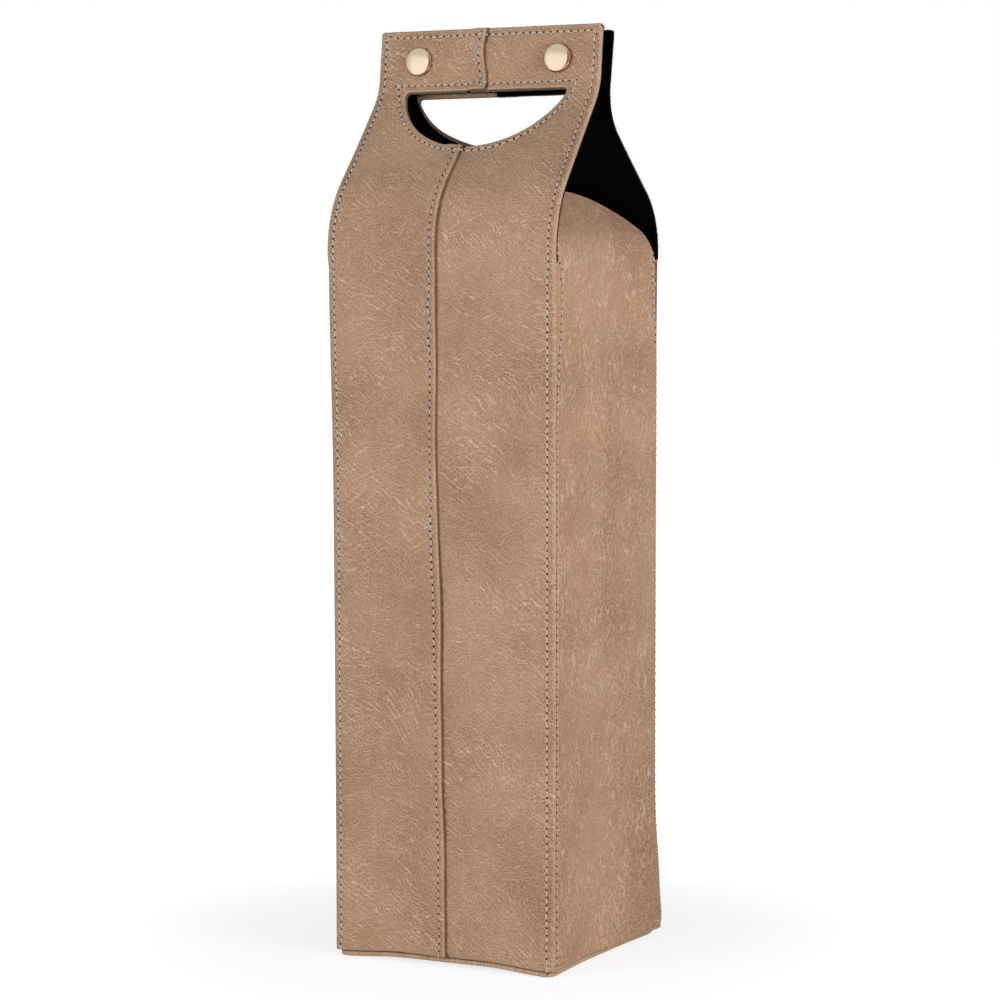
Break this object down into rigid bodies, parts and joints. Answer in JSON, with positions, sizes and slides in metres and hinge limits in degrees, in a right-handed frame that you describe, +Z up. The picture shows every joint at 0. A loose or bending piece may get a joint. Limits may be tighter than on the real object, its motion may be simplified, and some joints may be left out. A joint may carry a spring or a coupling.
{
  "type": "bottle carrier",
  "caption": "Tall square leather bottle carrier with felt lining, handle flaps leaning in over the mouth with half-moon hand holes, press studs and rounded side tongues.",
  "frame": {"origin": "on the floor under the middle of the base", "axes": "+Z up, front face with the snap caps towards -Y, right side towards +X"},
  "size_m": [0.1, 0.1024, 0.3781],
  "materials": {
    "taupe_leather": "crackled matte grain",
    "black_felt": "pressed felt",
    "grey_board": "plain",
    "pale_gold": "polished pale gold plate",
    "spring_steel": "drawn wire"
  },
  "bodies": {
    "carcass": {"base_panel": "taupe_leather", "base_board": "grey_board", "base_lining": "black_felt", "front_left_panel": "taupe_leather", "front_right_panel": "taupe_leather", "front_board": "grey_board", "front_lining": "black_felt", "back_left_panel": "taupe_leather", "back_right_panel": "taupe_leather", "back_board": "grey_board", "back_lining": "black_felt", "left_side_panel": "taupe_leather", "left_side_board": "grey_board", "left_side_lining": "black_felt", "right_side_panel": "taupe_leather", "right_side_board": "grey_board", "right_side_lining": "black_felt"},
    "front_flap": {"front_left_flap": "taupe_leather", "front_right_flap": "taupe_leather", "front_flap_board": "grey_board", "front_flap_lining": "black_felt", "left_snap_cap": "pale_gold", "left_snap_socket": "pale_gold", "left_snap_springs": "spring_steel", "right_snap_cap": "pale_gold", "right_snap_socket": "pale_gold", "right_snap_springs": "spring_steel"},
    "back_flap": {"back_left_flap": "taupe_leather", "back_right_flap": "taupe_leather", "back_flap_board": "grey_board", "back_flap_lining": "black_felt", "left_snap_stud": "pale_gold", "left_snap_post": "pale_gold", "right_snap_stud": "pale_gold", "right_snap_post": "pale_gold"},
    "left_tongue": {"left_tongue_panel": "taupe_leather", "left_tongue_lining": "black_felt"},
    "right_tongue": {"right_tongue_panel": "taupe_leather", "right_tongue_lining": "black_felt"}
  },
  "joints": [
    {"name": "front_flap_fold", "type": "hinge", "parent": "carcass", "child": "front_flap", "pos_m": [0, -0.05, 0.30338], "axis": [1, 0, 0], "range_deg": [-1.2, 40], "stiffness_Nm_per_rad": 0.35},
    {"name": "back_flap_fold", "type": "hinge", "parent": "carcass", "child": "back_flap", "pos_m": [0, 0.05, 0.30239], "axis": [-1, 0, 0], "range_deg": [-1.2, 45], "stiffness_Nm_per_rad": 0.35},
    {"name": "left_tongue_fold", "type": "hinge", "parent": "carcass", "child": "left_tongue", "pos_m": [-0.05, 0, 0.29149], "axis": [0, -1, 0], "range_deg": [-8, 46], "stiffness_Nm_per_rad": 0.06},
    {"name": "right_tongue_fold", "type": "hinge", "parent": "carcass", "child": "right_tongue", "pos_m": [0.05, 0, 0.29149], "axis": [0, 1, 0], "range_deg": [-8, 46], "stiffness_Nm_per_rad": 0.06}
  ]
}
